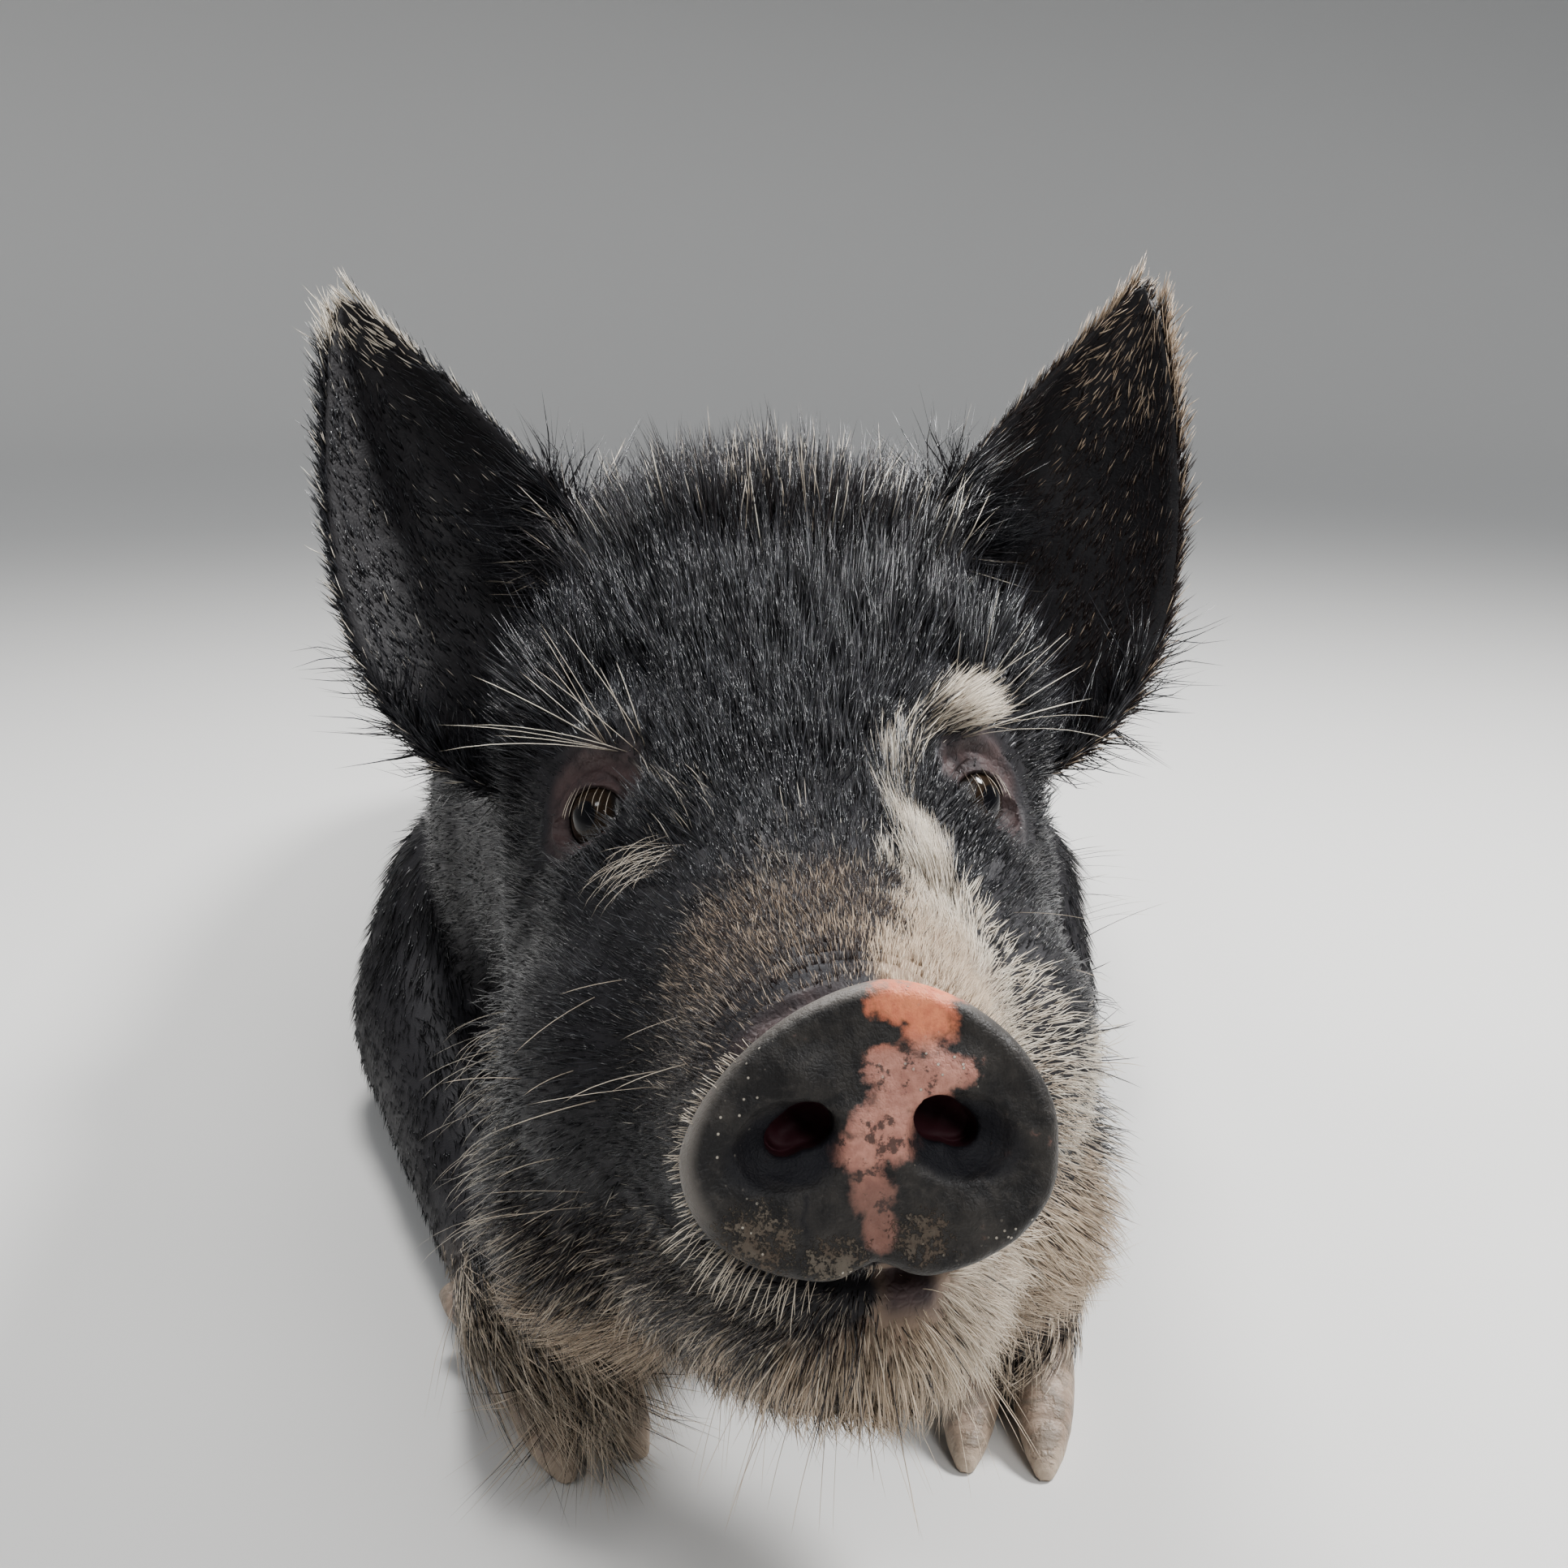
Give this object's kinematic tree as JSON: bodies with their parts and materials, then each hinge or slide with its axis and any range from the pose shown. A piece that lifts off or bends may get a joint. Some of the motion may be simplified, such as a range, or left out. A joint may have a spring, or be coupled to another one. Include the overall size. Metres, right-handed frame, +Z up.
{
  "type": "domestic pig",
  "caption": "Life-size young pig lying on its belly, head raised, prick ears, flat round snout, bristly crest, forelegs stretched ahead and tufted tail.",
  "frame": {"origin": "on the floor, under the middle of the whole animal's bounding box", "axes": "+Z up, +Y from the snout to the tail along the body, +X to the pig's left"},
  "size_m": [0.4754, 1.1514, 0.4346],
  "materials": {
    "black_coat": "coarse black bristles",
    "tail_coat": "coarse black hair with a pale tuft",
    "ear_skin": "thin skin with short black hair",
    "snout_skin": "bare matt skin, slate grey with pink patches",
    "eye": "glossy, dark brown",
    "claw_horn": "pale horn"
  },
  "bodies": {
    "root": {"head": "black_coat", "neck": "black_coat", "torso": "black_coat", "snout_disc": "snout_skin", "eye_left": "eye", "eye_right": "eye", "ear_left": "ear_skin", "ear_right": "ear_skin", "foreleg_left": "black_coat", "foreleg_right": "black_coat", "hindleg_left": "black_coat", "hindleg_right": "black_coat", "foreclaw_left_outer": "claw_horn", "foreclaw_left_inner": "claw_horn", "foreclaw_right_outer": "claw_horn", "foreclaw_right_inner": "claw_horn", "hindclaw_left_outer": "claw_horn", "hindclaw_left_inner": "claw_horn", "hindclaw_right_outer": "claw_horn", "hindclaw_right_inner": "claw_horn", "foredewclaw_left_outer": "claw_horn", "foredewclaw_left_inner": "claw_horn", "foredewclaw_right_outer": "claw_horn", "foredewclaw_right_inner": "claw_horn", "hinddewclaw_left_outer": "claw_horn", "hinddewclaw_left_inner": "claw_horn", "hinddewclaw_right_outer": "claw_horn", "hinddewclaw_right_inner": "claw_horn", "tail": "tail_coat"}
  },
  "joints": []
}
